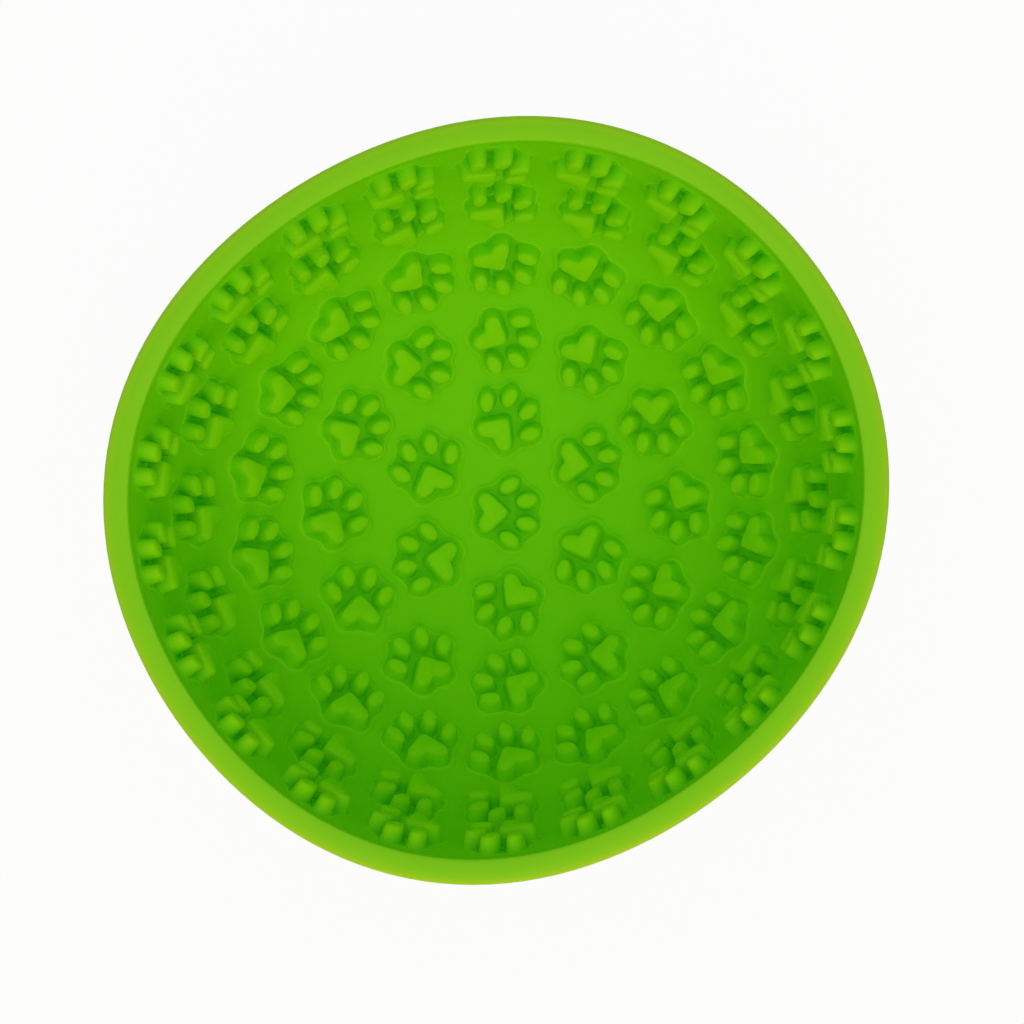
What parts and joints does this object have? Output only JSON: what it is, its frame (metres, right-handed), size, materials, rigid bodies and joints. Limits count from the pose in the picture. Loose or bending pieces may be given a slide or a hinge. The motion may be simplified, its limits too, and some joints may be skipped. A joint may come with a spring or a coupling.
{
  "type": "wobble slow feeder bowl",
  "caption": "Round-bottomed soft lick bowl with a flat lip, a steep wall and rings of paw-shaped studs inside, weighted low so that it wobbles and rights itself.",
  "frame": {"origin": "middle of the flat foot that the bowl rests on", "axes": "+Z up out of the bowl's mouth, +X to the right and +Y up in the picture, which looks down into the bowl"},
  "size_m": [0.1686, 0.1648, 0.0795],
  "materials": {
    "shell_silicone": "soft matte",
    "liner_silicone": "satin",
    "base_silicone": "soft matte",
    "weight_steel": "turned"
  },
  "bodies": {
    "root": {"outer_shell": "shell_silicone", "lick_liner": "liner_silicone", "rocker_base": "base_silicone", "base_weight": "weight_steel"}
  },
  "joints": []
}
